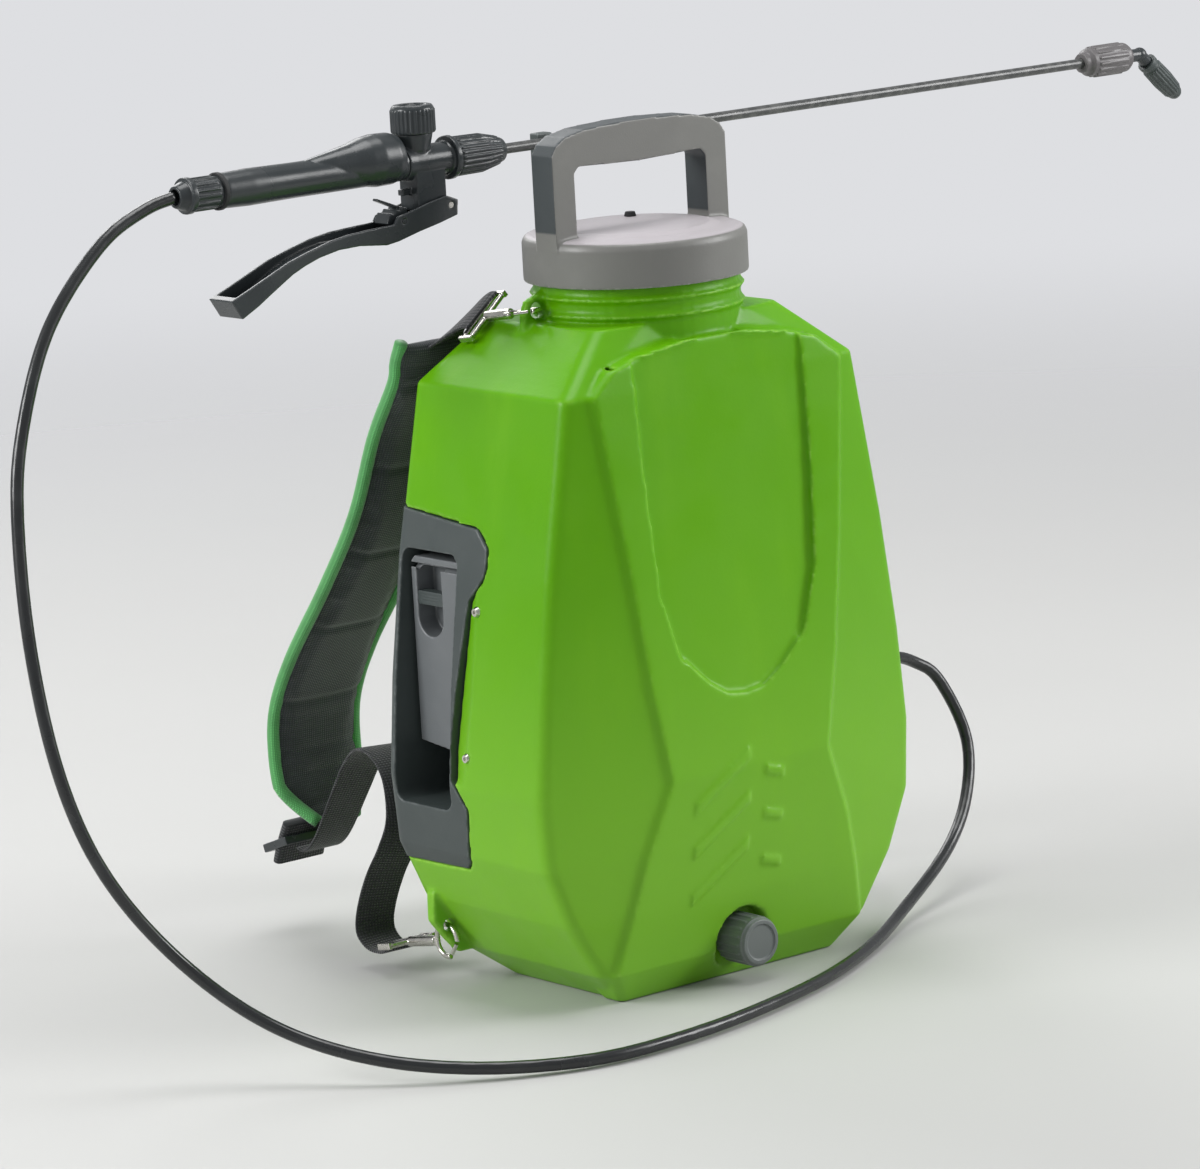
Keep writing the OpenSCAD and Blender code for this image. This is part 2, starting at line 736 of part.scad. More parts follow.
module strap_buckles() {
    color(black) mirror_pair() translate([-106, 268, 64]) rotate([-20, 0, 0]) difference() {
        box([-22, -14, -3], [22, 14, 3]);
        for (y = [-10, 1]) box([-16, y, -5], [16, y + 7, 5]);
    }
}

ring_r = 11;
wire_r = 1.9;
// Distance between the two bars of each hook's webbing loop.
loop_d = 8.5;
gate_span = 80;
gate_end = 265;
// Droop of the hooks, and the turn of the upper hook's bar about its shank.
upper_tilt = 8;
lower_tilt = 10;
upper_twist = 38;

// A wire ring, open on one side.
module hook_ring() {
    rotate([0, 0, gate_end]) rotate_extrude(angle = 360 - gate_span) translate([ring_r, 0]) circle(wire_r);
}

// The shank behind the ring and the rectangular loop whose far bar, at bar_y, holds the webbing.
module hook_shank(bar_y, bar_w, twist) {
    arm_x = bar_w / 2 + 2;
    translate([0, ring_r + 1, 0]) rotate([-90, 0, 0]) cylinder(r = 3.6, h = bar_y - loop_d - ring_r - 1);
    rotate([0, -twist, 0]) {
        for (y = [bar_y - loop_d, bar_y]) rod([-arm_x - 1, y, 0], [arm_x + 1, y, 0], wire_r);
        mirror_pair() box([arm_x, bar_y - loop_d - 2.4, -2.2], [arm_x + 2.8, bar_y + 2.4, 2.2]);
    }
}

// The straight gate that closes the hook's opening.
module hook_gate() {
    a = [ring_r * cos(gate_end), ring_r * sin(gate_end), 0];
    b = [ring_r * cos(gate_end - gate_span), ring_r * sin(gate_end - gate_span), 0];
    d = unit(b - a);
    rod(a + 2.3 * d, b - 2.6 * d, 1.3);
}
// The upper ring lies flat beside its hole; the lower ring hangs upright under its hole.
module upper_hook_place() {
    translate([fin_hole[0] - ring_r, fin_hole[1], fin_hole[2]]) rotate([-upper_tilt, 0, 0]) children();
}
module lower_hook_place() {
    translate([lug_hole[0], lug_hole[1], lug_hole[2] - ring_r]) rotate([-lower_tilt, 0, 0]) children();
}
module upper_hooks() {
    color(steel) mirror_pair() upper_hook_place() {
        hook_ring();
        hook_shank(46, web_w, upper_twist);
    }
}
module lower_hooks() {
    color(steel) mirror_pair() lower_hook_place() {
        rotate([0, -90, 0]) hook_ring();
        hook_shank(50, lower_web_w, 0);
    }
}
module upper_gate_left() {
    color(steel) upper_hook_place() hook_gate();
}
module upper_gate_right() {
    color(steel) mirror([1, 0, 0]) upper_hook_place() hook_gate();
}
module lower_gate_left() {
    color(steel) lower_hook_place() rotate([0, -90, 0]) hook_gate();
}
module lower_gate_right() {
    color(steel) mirror([1, 0, 0]) lower_hook_place() rotate([0, -90, 0]) hook_gate();
}

// ---- Wand -------------------------------------------------------------------------

module at_wand() {
    translate([0, wand_y, wand_z]) children();
}
tail_x = -306;
grip_x = -274;
valve_x = -125;
stem_x = -113;
lever_pin_x = -95;
lever_pin_z = -29.5;
lock_x = -134;
lock_z = -35.5;

module tail_nut() {
    color(black) at_wand() difference() {
        union() {
            turned_x([[tail_x, 0], [tail_x, 7], [tail_x + 6, 9.4], [grip_x - 0.1, 10.4], [grip_x - 0.1, 0]]);
            turned_x([[tail_x + 7, 0], [tail_x + 7, 11.8], [tail_x + 11, 11.8], [tail_x + 11, 0]]);
            for (a = [0:24:336]) rotate([a, 0, 0]) box([tail_x + 10.5, -0.7, 8.5], [grip_x - 3, 0.7, 11]);
        }
        translate([tail_x - 5, 0, 0]) rotate([0, 90, 0]) cylinder(r = hose_r + 0.8, h = 26);
        translate([grip_x - 12, 0, 0]) rotate([0, 90, 0]) cylinder(r = 6.1, h = 20);
    }
}

module tail_seal() {
    color(rubber) at_wand() turned_x([[grip_x, 10.6], [grip_x, 12.2], [grip_x + 3, 12.2], [grip_x + 3, 10.6]]);
}

module trigger_grip() {
    color(black) at_wand() difference() {
        union() {
            turned_x([[grip_x, 0], [grip_x, 10.5], [grip_x + 3.1, 10.5], [grip_x + 3.1, 11.4], [-250, 12], [-215, 11.5],
                [-178, 11.4], [-150, 11.2], [-136, 11.2], [valve_x - 0.1, 10.8], [valve_x - 0.1, 0]]);
            translate([0, 0, 5]) turned_x([[-206, 0], [-206, 6], [-185, 9.8], [-168, 13], [-157, 16], [-148, 17.3],
                [-136, 17], [-131, 15.5], [-129, 13.2], [-129, 0]]);
            translate([grip_x - 11, 0, 0]) rotate([0, 90, 0]) cylinder(r = 6, h = 14);
        }
        translate([grip_x - 20, 0, 0]) rotate([0, 90, 0]) cylinder(r = 3.4, h = 200);
    }
}

module valve_body() {
    color(black) at_wand() difference() {
        union() {
            turned_x([[valve_x, 0], [valve_x, 11.4], [-118, 11], [-90, 10.8], [-88, 11.2], [-88, 14.5], [-84, 14.5],
                [-84, 8], [-77, 8], [-77, 0]]);
            translate([stem_x, 0, 0]) cylinder(r = 9.6, h = 12);
            translate([stem_x, 0, 8]) cylinder(r1 = 10.2, r2 = 12.6, h = 11);
            box([-119.5, -9.5, -31], [-96, 9.5, 0]);
            box([-99.5, -9.5, -33], [-91.5, 9.5, -25]);
            box([-127, -2.5, -20.5], [-119, 2.5, -16.5]);
        }
        translate([stem_x, 0, -36]) cylinder(r = 3.1, h = 26);
        translate([stem_x, 0, -18]) cylinder(r = 5.5, h = 26);
        translate([-130, 0, 0]) rotate([0, 90, 0]) cylinder(r = 3.4, h = 60);
        translate([lever_pin_x, -20, lever_pin_z]) rotate([-90, 0, 0]) cylinder(r = 2, h = 40);
    }
}

module valve_cap() {
    color(black) at_wand() translate([stem_x, 0, 19.1]) difference() {
        union() {
            cylinder(r = 14.2, h = 16.5);
            translate([0, 0, 16.5]) cylinder(r1 = 14.2, r2 = 12.8, h = 2);
            for (a = [0:12:348]) rotate(a) translate([14.1, 0, 1]) cylinder(r = 0.8, h = 14.5, $fn = 16);
        }
        translate([0, 0, 17.3]) cylinder(r = 9, h = 4);
    }
}

module valve_stem() {
    color(steel) at_wand() translate([stem_x, 0, 0]) {
        translate([0, 0, -38.7]) cylinder(r = 3.05, h = 26.3);
        translate([0, 0, -12.5]) cylinder(r = 5.2, h = 3);
    }
}

module valve_spring() {
    color(steel) at_wand() translate([stem_x, 0, -9.4]) coil(4.2, 16, 5, 0.5);
}

module lever_pin() {
    color(steel) at_wand() translate([lever_pin_x, -12.4, lever_pin_z]) rotate([-90, 0, 0]) cylinder(r = 1.95, h = 24.8);
}

// The lever's side outline, in X and Z about the wand axis.
module lever_side() {
    polygon([
        [-89, -26.5], [-98, -23], [-112, -25.5], [-128, -29.5], [-139, -32], [-142, -36.5], [-163, -37.5],
        [-179, -38.5], [-195, -41], [-212, -45.4], [-228, -50], [-245, -57], [-263, -64.4], [-276, -69.5],
        [-268, -82], [-255, -75.5], [-245, -69.5], [-235, -63.7], [-226, -58.6], [-216, -54.4], [-204, -50.6],
        [-188, -47.6], [-171, -47.2], [-155, -48.8], [-149, -49.4], [-139, -48], [-122, -43.8], [-105, -40.3],
        [-90, -36.5]
    ]);
}
module trigger_lever() {
    color(black) at_wand() difference() {
        translate([0, 12.5, 0]) rotate([90, 0, 0]) linear_extrude(25) lever_side();
        translate([0, 10, 2.4]) rotate([90, 0, 0]) linear_extrude(20) intersection() {
            lever_side();
            translate([-271, -100]) square([200, 100]);
        }
        translate([lever_pin_x, -20, lever_pin_z]) rotate([-90, 0, 0]) cylinder(r = 2, h = 40);
        translate([lock_x, -20, lock_z]) rotate([-90, 0, 0]) cylinder(r = 1.7, h = 40);
    }
}

module trigger_lock() {
    color(black) at_wand() translate([lock_x, 0, lock_z]) {
        translate([0, 7, 0]) rotate([90, 0, 0]) linear_extrude(14) polygon([
            [5, -3], [6.5, 3], [6.5, 8], [3, 9], [1, 6.5], [-2, 7.5], [-4, 4.5], [-7, 5.5], [-9, 2], [-10, -1], [-6, -3]
        ]);
        translate([0, 2.5, 0]) rotate([90, 0, 0]) linear_extrude(5) polygon([
            [5, 6], [6.4, 7.8], [-13.4, 15.6], [-14, 14.1]
        ]);
        translate([0, -12.4, 0]) rotate([-90, 0, 0]) cylinder(r = 1.6, h = 24.8);
    }
}

module lance_nut() {
    color(black) at_wand() difference() {
        union() {
            turned_x([[-83.9, 0], [-83.9, 12.4], [-74, 12.6], [-60, 12], [-48, 9.8], [-42, 8], [-42, 0]]);
            intersection() {
                turned_x([[-82, 0], [-82, 13.4], [-60, 13], [-46, 9.9], [-46, 0]]);
                for (a = [0:15:345]) rotate([a, 0, 0]) box([-83, -0.7, 6], [-45, 0.7, 14]);
            }
        }
        translate([-80, 0, 0]) rotate([0, 90, 0]) cylinder(r = tube_r + 0.1, h = 60);
        translate([-85, 0, 0]) rotate([0, 90, 0]) cylinder(r = 8.1, h = 8.05);
        translate([-77.5, 0, 0]) rotate([0, 90, 0]) cylinder(r = 6, h = 3.5);
    }
}

module lance_seal() {
    color(rubber) at_wand() turned_x([[-76.8, tube_r + 0.1], [-76.8, 5.9], [-74.2, 5.9], [-74.2, tube_r + 0.1]]);
}

module lance_tube() {
    color(black) at_wand() turned_x([[-76.8, 2.2], [-76.8, tube_r], [520, tube_r], [520, 2.2]]);
}

nozzle_x = 497;
elbow_x = 552;
tilt = 42;
module nozzle_nut() {
    color(grey) at_wand() difference() {
        union() {
            turned_x([[nozzle_x - 4, 0], [nozzle_x - 4, 7], [nozzle_x, 7.5], [nozzle_x + 2, 10], [nozzle_x + 24, 11],
                [nozzle_x + 38, 10.5], [nozzle_x + 41, 8.5], [nozzle_x + 41, 0]]);
            for (a = [0:24:336]) rotate([a, 0, 0]) box([nozzle_x + 6, -0.9, 8], [nozzle_x + 34, 0.9, 11.4]);
        }
        translate([480, 0, 0]) rotate([0, 90, 0]) cylinder(r = tube_r + 0.1, h = 41);
        translate([520.5, 0, 0]) rotate([0, 90, 0]) cylinder(r = 5, h = 30);
    }
}

// Parts of the nozzle beyond the bend, along +X from the elbow's centre.
module past_elbow() {
    at_wand() translate([elbow_x, 0, 0]) rotate([0, tilt, 0]) children();
}
module nozzle_elbow() {
    color(black) {
        at_wand() turned_x([[521, 0], [521, 4.9], [elbow_x, 4.6], [elbow_x, 0]]);
        at_wand() translate([elbow_x, 0, 0]) sphere(r = 5.3);
        past_elbow() turned_x([[0, 0], [0, 4.6], [14, 4.6], [14, 5.5], [20, 5.5], [20, 0]]);
    }
}
module nozzle_cap() {
    color(charcoal) past_elbow() difference() {
        union() {
            turned_x([[9, 0], [9, 7.2], [12.5, 7.2], [12.5, 6.4], [15, 6.4], [15, 7], [30, 7.3], [42, 6.4], [47, 5.2],
                [49, 4], [49, 0]]);
            intersection() {
                turned_x([[16, 0], [16, 7.6], [30, 7.9], [43, 6.9], [43, 0]]);
                for (a = [0:20:340]) rotate([a, 0, 0]) box([15.5, -0.6, 5], [44, 0.6, 9]);
            }
        }
        rotate([0, 90, 0]) cylinder(r = 4.7, h = 14.2);
        translate([13.8, 0, 0]) rotate([0, 90, 0]) cylinder(r = 5.6, h = 24.4);
        rotate([0, 90, 0]) cylinder(r = 3.2, h = 60);
    }
}
module nozzle_tip() {
    color("firebrick") past_elbow() difference() {
        turned_x([[20.1, 0], [20.1, 5.5], [38.1, 5.5], [38.1, 3.1], [48.4, 3.1], [48.4, 0]]);
        translate([20, 0, 0]) rotate([0, 90, 0]) cylinder(r = 0.9, h = 30, $fn = 16);
    }
}

tank_shell();
filler_strainer();
lid_gasket();
lid();
vent_valve();
drain_gasket();
drain_cap();
battery_housing();
battery_contacts();
housing_screws();
battery_pack();
battery_latch();
latch_spring();
pump_cover();
cover_screws();
pump_motor();
pump_head();
pressure_switch();
control_board();
suction_tube();
suction_filter();
discharge_tube();
outlet_fitting();
power_cable();
power_switch();
pressure_knob();
hose();
hose_nut();
lance_holder();
holder_screws();
shoulder_pad_left();
shoulder_pad_right();
upper_webbing();
lower_webbing();
strap_buckles();
upper_hooks();
lower_hooks();
upper_gate_left();
upper_gate_right();
lower_gate_left();
lower_gate_right();
tail_nut();
tail_seal();
trigger_grip();
valve_body();
valve_cap();
valve_spring();
valve_stem();
lever_pin();
trigger_lever();
trigger_lock();
lance_nut();
lance_seal();
lance_tube();
nozzle_nut();
nozzle_elbow();
nozzle_cap();
nozzle_tip();
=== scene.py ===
import json
import math

import bmesh
import bpy
import numpy as np
from mathutils import Matrix, Vector


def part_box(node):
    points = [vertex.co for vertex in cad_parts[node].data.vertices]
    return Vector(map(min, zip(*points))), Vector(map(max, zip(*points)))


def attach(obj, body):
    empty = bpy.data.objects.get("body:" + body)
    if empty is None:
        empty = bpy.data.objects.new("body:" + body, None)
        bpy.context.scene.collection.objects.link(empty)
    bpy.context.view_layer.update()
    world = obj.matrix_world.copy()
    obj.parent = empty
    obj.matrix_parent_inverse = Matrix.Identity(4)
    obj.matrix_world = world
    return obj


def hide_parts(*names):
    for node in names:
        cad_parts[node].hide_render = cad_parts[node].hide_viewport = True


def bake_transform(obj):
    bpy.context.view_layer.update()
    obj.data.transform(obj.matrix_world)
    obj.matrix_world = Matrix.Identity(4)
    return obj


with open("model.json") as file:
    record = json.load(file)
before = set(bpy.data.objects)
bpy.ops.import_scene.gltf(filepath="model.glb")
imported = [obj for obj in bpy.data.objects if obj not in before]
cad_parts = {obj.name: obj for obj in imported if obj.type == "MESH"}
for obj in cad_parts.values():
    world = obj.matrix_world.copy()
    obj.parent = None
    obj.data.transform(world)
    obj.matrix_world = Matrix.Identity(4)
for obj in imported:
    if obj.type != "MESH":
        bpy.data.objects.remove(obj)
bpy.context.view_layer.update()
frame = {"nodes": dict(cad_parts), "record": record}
NODES = frame["nodes"]
BODY_OF = {node: body for body, members in frame["record"]["behaviour"]["bodies"].items() for node in members}
SLOT_OF = {row["node"]: row["material_slot"] for row in frame["record"]["subparts"]}
MM = 0.001
scene = bpy.context.scene


# ---- Materials -------------------------------------------------------------


class Shader:
    """A principled material with short helpers for its procedural nodes."""

    def __init__(self, name, color, rough, metallic=0.0):
        self.material = bpy.data.materials.new(name)
        self.material.use_nodes = True
        self.tree = self.material.node_tree
        self.bsdf = self.tree.nodes["Principled BSDF"]
        self.bsdf.inputs["Base Color"].default_value = (*color, 1)
        self.bsdf.inputs["Roughness"].default_value = rough
        self.bsdf.inputs["Metallic"].default_value = metallic
        self.color = color
        self.rough = rough
        self.normal = None
        self.coords = self.node("ShaderNodeTexCoord").outputs["Object"]

    def node(self, kind, **values):
        made = self.tree.nodes.new(kind)
        for key, value in values.items():
            setattr(made, key, value)
        return made

    def link(self, source, target):
        self.tree.links.new(source, target)
        return self

    def scaled(self, factors):
        """The coordinates multiplied by a factor for each axis."""
        mapping = self.node("ShaderNodeMapping")
        mapping.inputs["Scale"].default_value = factors
        self.link(self.coords, mapping.inputs["Vector"])
        return mapping.outputs["Vector"]

    def noise(self, scale, detail=3.0, vector=None):
        made = self.node("ShaderNodeTexNoise")
        made.inputs["Scale"].default_value = scale
        made.inputs["Detail"].default_value = detail
        self.link(vector or self.coords, made.inputs["Vector"])
        return made.outputs["Fac"]

    def ramp(self, source, low, high, low_value, high_value):
        """source mapped smoothly from low..high to low_value..high_value."""
        made = self.node("ShaderNodeMapRange", interpolation_type="SMOOTHSTEP")
        sockets = ("From Min", "From Max", "To Min", "To Max")
        for key, value in zip(sockets, (low, high, low_value, high_value)):
            made.inputs[key].default_value = value
        self.link(source, made.inputs["Value"])
        return made.outputs["Result"]

    def tint(self, factor, color):
        """Mixes color over the present base colour by factor."""
        made = self.node("ShaderNodeMix", data_type="RGBA")
        base = self.bsdf.inputs["Base Color"]
        if base.is_linked:
            self.link(base.links[0].from_socket, made.inputs["A"])
        else:
            made.inputs["A"].default_value = (*self.color, 1)
        made.inputs["B"].default_value = (*color, 1)
        self.link(factor, made.inputs["Factor"])
        return self.link(made.outputs["Result"], base)

    def roughness(self, source, spread):
        """Roughness varies about its own value by spread, following source."""
        made = self.ramp(source, 0.3, 0.7, self.rough - spread, self.rough + spread)
        return self.link(made, self.bsdf.inputs["Roughness"])

    def bump(self, height, distance, strength=1.0):
        made = self.node("ShaderNodeBump")
        made.inputs["Distance"].default_value = distance
        made.inputs["Strength"].default_value = strength
        self.link(height, made.inputs["Height"])
        if self.normal:
            self.link(self.normal, made.inputs["Normal"])
        self.normal = made.outputs["Normal"]
        return self.link(self.normal, self.bsdf.inputs["Normal"])

    def paint_edge_highlight(self, color, amount):
        """Painted edge highlight: convex edges turn towards color, broken up by noise."""
        point = self.node("ShaderNodeNewGeometry").outputs["Pointiness"]
        edge = self.ramp(point, 0.505, 0.56, 0.0, 1.0)
        patch = self.ramp(self.noise(160, 4), 0.42, 0.62, 0.2, 1.0)
        both = self.node("ShaderNodeMath", operation="MULTIPLY")
        self.link(edge, both.inputs[0]).link(patch, both.inputs[1])
        part = self.node("ShaderNodeMath", operation="MULTIPLY")
        self.link(both.outputs[0], part.inputs[0])
        part.inputs[1].default_value = amount
        return self.tint(part.outputs[0], color)

    def set(self, **values):
        for key, value in values.items():
            self.bsdf.inputs[key.replace("_", " ")].default_value = value
        return self


def srgb(r, g, b):
    """A display colour, 0 to 255, as scene-linear values."""
    return tuple(((c / 255 + 0.055) / 1.055) ** 2.4 if c > 10 else c / 255 / 12.92 for c in (r, g, b))


def moulded(name, color, rough, grain=900, relief=0.00006, edge_highlight=None):
    """Moulded plastic: fine texture, slight colour and gloss variation, convex edges painted paler as a
    highlight.
    """
    s = Shader(name, color, rough)
    s.tint(s.ramp(s.noise(9, 5), 0.35, 0.7, 0.0, 0.35), tuple(c * 0.82 for c in color))
    s.tint(s.ramp(s.noise(60, 4), 0.5, 0.75, 0.0, 0.15), tuple(min(1.0, c * 1.25 + 0.01) for c in color))
    s.roughness(s.noise(35, 5), 0.06)
    s.bump(s.noise(grain, 2), relief)
    # Paints the given paler colour on convex edges as a painted highlight.
    if edge_highlight:
        s.paint_edge_highlight(edge_highlight, 0.5)
    return s


def tank_plastic():
    """Translucent blow-moulded polyethylene with soft flow marks and a paler, thinner lower part."""
    s = Shader("tank_green", srgb(96, 166, 0), 0.36)
    s.tint(s.ramp(s.noise(5, 4), 0.35, 0.7, 0.0, 0.5), srgb(84, 154, 0))
    split = s.node("ShaderNodeSeparateXYZ")
    s.link(s.coords, split.inputs[0])
    s.tint(s.ramp(split.outputs["Z"], 0.32, 0.05, 0.0, 0.6), srgb(132, 190, 58))
    s.tint(s.ramp(s.noise(26, 6, s.scaled((1, 1, 0.25))), 0.5, 0.8, 0.0, 0.2), srgb(128, 192, 30))
    # Convex edges painted pale green as a painted highlight.
    s.paint_edge_highlight(srgb(168, 222, 96), 0.45)
    s.roughness(s.noise(22, 5), 0.07)
    s.bump(s.noise(14, 3), 0.0012, 0.35)
    s.bump(s.noise(420, 3), 0.00012, 0.5)
    s.set(Subsurface_Weight=0.12, Subsurface_Scale=0.015, Specular_IOR_Level=0.22)
    s.bsdf.inputs["Subsurface Radius"].default_value = (0.5, 1.0, 0.15)
    return s.material


# The bail handle starts between these heights, in metres.
HANDLE_FOOT = (0.4985, 0.5005)


def lid_plastic():
    """Grey lid whose bail handle is charcoal except on its front face; its upward faces below the handle are
    painted paler as a painted top light, and its convex edges get a painted highlight.
    """
    s = moulded("lid_grey", srgb(118, 118, 114), 0.42, edge_highlight=srgb(180, 178, 176))
    place = s.node("ShaderNodeSeparateXYZ")
    s.link(s.coords, place.inputs[0])
    facing = s.node("ShaderNodeSeparateXYZ")
    s.link(s.node("ShaderNodeTexCoord").outputs["Normal"], facing.inputs[0])
    on_handle = s.ramp(place.outputs["Z"], *HANDLE_FOOT, 0.0, 1.0)
    not_front = s.ramp(facing.outputs["Y"], -0.85, -0.6, 0.0, 1.0)
    both = s.node("ShaderNodeMath", operation="MULTIPLY")
    s.link(on_handle, both.inputs[0]).link(not_front, both.inputs[1])
    s.tint(both.outputs[0], srgb(58, 64, 66))
    # Upward faces below the handle foot painted paler: painted light from above.
    upward = s.ramp(facing.outputs["Z"], 0.8, 0.95, 0.0, 1.0)
    painted_top_light = s.node("ShaderNodeMath", operation="MULTIPLY")
    s.link(upward, painted_top_light.inputs[0])
    s.link(s.ramp(place.outputs["Z"], *HANDLE_FOOT, 0.85, 0.0), painted_top_light.inputs[1])
    return s.tint(painted_top_light.outputs[0], srgb(186, 180, 184)).material


def metal(name, color, rough):
    s = Shader(name, color, rough, 1.0)
    s.tint(s.ramp(s.noise(70, 5), 0.45, 0.75, 0.0, 0.4), tuple(c * 0.7 for c in color))
    s.roughness(s.noise(120, 4), 0.08)
    s.bump(s.noise(260, 3, s.scaled((1, 1, 8))), 0.00005, 0.4)
    return s.material


def rubber(name, color, rough, relief=0.00008):
    s = Shader(name, color, rough)
    s.tint(s.ramp(s.noise(40, 5), 0.45, 0.75, 0.0, 0.5), tuple(c * 1.7 + 0.005 for c in color))
    s.roughness(s.noise(30, 4), 0.07)
    s.bump(s.noise(650, 2), relief, 0.6)
    return s.material


def woven(name, color, thread, relief, sheen=0.4, rough=0.85):
    """Woven cloth in the piece's own strap coordinates (across, along, in metres)."""
    s = Shader(name, color, rough)
    strap = s.node("ShaderNodeAttribute", attribute_name="strap")
    s.coords = strap.outputs["Vector"]
    waves = []
    for direction in ("X", "Y"):
        wave = s.node("ShaderNodeTexWave", bands_direction=direction, wave_profile="SIN")
        wave.inputs["Scale"].default_value = 0.314 / thread
        wave.inputs["Distortion"].default_value = 0.4
        s.link(s.coords, wave.inputs["Vector"])
        waves.append(wave.outputs["Fac"])
    weave = s.node("ShaderNodeMath", operation="MULTIPLY")
    s.link(waves[0], weave.inputs[0]).link(waves[1], weave.inputs[1])
    s.tint(s.ramp(weave.outputs[0], 0.1, 0.7, 0.0, 0.8), tuple(c * 2.0 + 0.008 for c in color))
    s.tint(s.ramp(s.noise(45, 5), 0.45, 0.7, 0.0, 0.35), tuple(c * 0.6 for c in color))
    s.bump(weave.outputs[0], relief)
    s.set(Sheen_Weight=sheen, Sheen_Roughness=0.5)
    return s.material


def floor_paint():
    """Pale studio floor that fades into the background."""
    s = Shader("studio_floor", srgb(188, 188, 186), 0.7)
    s.tint(s.ramp(s.noise(3, 3), 0.4, 0.7, 0.0, 0.1), srgb(180, 180, 178))
    length = s.node("ShaderNodeVectorMath", operation="LENGTH")
    s.link(s.coords, length.inputs[0])
    s.link(s.ramp(length.outputs["Value"], 0.9, 3.6, 1.0, 0.0), s.bsdf.inputs["Alpha"])
    return s.material


# The paler edge colours given below are painted highlights on the parts' convex edges.
MATERIALS = {
    "tank_green": tank_plastic(),
    "lid_grey": lid_plastic(),
    "nut_grey": moulded("nut_grey", srgb(98, 95, 96), 0.4, edge_highlight=srgb(140, 138, 136)).material,
    "cap_grey": moulded("cap_grey", srgb(108, 114, 112), 0.4, edge_highlight=srgb(150, 156, 154)).material,
    "charcoal_plastic": moulded(
        "charcoal_plastic", srgb(62, 70, 69), 0.42, edge_highlight=srgb(120, 126, 126)
    ).material,
    "black_plastic": moulded(
        "black_plastic", srgb(46, 51, 53), 0.28, relief=0.00004, edge_highlight=srgb(88, 92, 94)
    ).material,
    "battery_grey": moulded("battery_grey", srgb(104, 108, 110), 0.4, edge_highlight=srgb(160, 162, 164)).material,
    "rubber_black": rubber("rubber_black", srgb(34, 35, 36), 0.65),
    "hose_black": rubber("hose_black", srgb(34, 36, 37), 0.26, 0.00003),
    "zinc_steel": metal("zinc_steel", srgb(206, 204, 196), 0.24),
    "brass": metal("brass", srgb(200, 164, 92), 0.3),
    "strap_fabric": woven("strap_fabric", srgb(42, 47, 50), 0.0016, 0.0004),
    "webbing": woven("webbing", srgb(34, 36, 38), 0.0022, 0.0005, sheen=0.25),
    "red_plastic": moulded("red_plastic", srgb(176, 34, 24), 0.3).material,
    "board_green": moulded("board_green", srgb(24, 92, 44), 0.35).material,
    "piping_green": woven("piping_green", srgb(78, 152, 84), 0.0012, 0.0002),
    "lance_black": moulded("lance_black", srgb(60, 62, 62), 0.28, edge_highlight=srgb(110, 110, 108)).material,
}


# ---- Mesh helpers -------------------------------------------------------------


def add_object(name, mesh):
    obj = bpy.data.objects.new(name, mesh)
    scene.collection.objects.link(obj)
    return obj


def weld(mesh, distance=0.00001):
    bm = bmesh.new()
    bm.from_mesh(mesh)
    bmesh.ops.remove_doubles(bm, verts=bm.verts, dist=distance)
    bm.to_mesh(mesh)
    bm.free()


def bake(obj):
    """Applies every modifier of obj to its mesh."""
    bpy.context.view_layer.update()
    depsgraph = bpy.context.evaluated_depsgraph_get()
    mesh = bpy.data.meshes.new_from_object(obj.evaluated_get(depsgraph))
    obj.modifiers.clear()
    old = obj.data
    obj.data = mesh
    bpy.data.meshes.remove(old)
    return obj


def smooth_faces(mesh):
    mesh.polygons.foreach_set("use_smooth", [True] * len(mesh.polygons))


def finish_piece(obj, material, body, nodes=()):
    """Shades obj, rides it on body and lets it stand for the given CAD nodes."""
    smooth_faces(obj.data)
    obj.data.materials.clear()
    obj.data.materials.append(MATERIALS[material])
    if body:
        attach(obj, body)
    if nodes:
        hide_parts(*nodes)
    return obj


def coordinates(mesh):
    """The places of the mesh's vertices, one row each."""
    co = np.empty(len(mesh.vertices) * 3, np.float32)
    mesh.vertices.foreach_get("co", co)
    return co.reshape(-1, 3)


def unit_tangents(p):
    """The direction of the path at each of its points."""
    tangents = np.gradient(p, axis=0)
    return tangents / np.linalg.norm(tangents, axis=1)[:, None]


def cad_copy(node, name):
    mesh = NODES[node].data.copy()
    weld(mesh)
    return add_object(name, mesh)


def thicken(obj, low, high):
    """Adds a closed box inside a thin wall, so that remeshing leaves no hole there."""
    bm = bmesh.new()
    bm.from_mesh(obj.data)
    size = (Vector(high) - Vector(low)) * MM
    centre = (Vector(high) + Vector(low)) / 2 * MM
    bmesh.ops.create_cube(bm, size=1.0, matrix=Matrix.Translation(centre) @ Matrix.Diagonal((*size, 1)))
    bm.to_mesh(obj.data)
    bm.free()


def soften(node, voxel, passes, keep, material):
    """A smooth moulded copy of a CAD node: its edges rounded by remeshing at voxel millimetres."""
    obj = cad_copy(node, "moulded_" + node)
    for low, high in INNER_BOXES.get(node, []):
        thicken(obj, low, high)
    remesh = obj.modifiers.new("remesh", "REMESH")
    remesh.mode = "VOXEL"
    remesh.voxel_size = voxel * MM
    remesh.adaptivity = 0.0
    relax = obj.modifiers.new("relax", "SMOOTH")
    relax.factor = 0.5
    relax.iterations = passes
    if keep < 1:
        fewer = obj.modifiers.new("fewer", "DECIMATE")
        fewer.ratio = keep
    bake(obj)
    slot = SLOT_OF[node]
    return finish_piece(obj, material or slot, BODY_OF[node], (node,))


# ---- Paths ---------------------------------------------------------------------


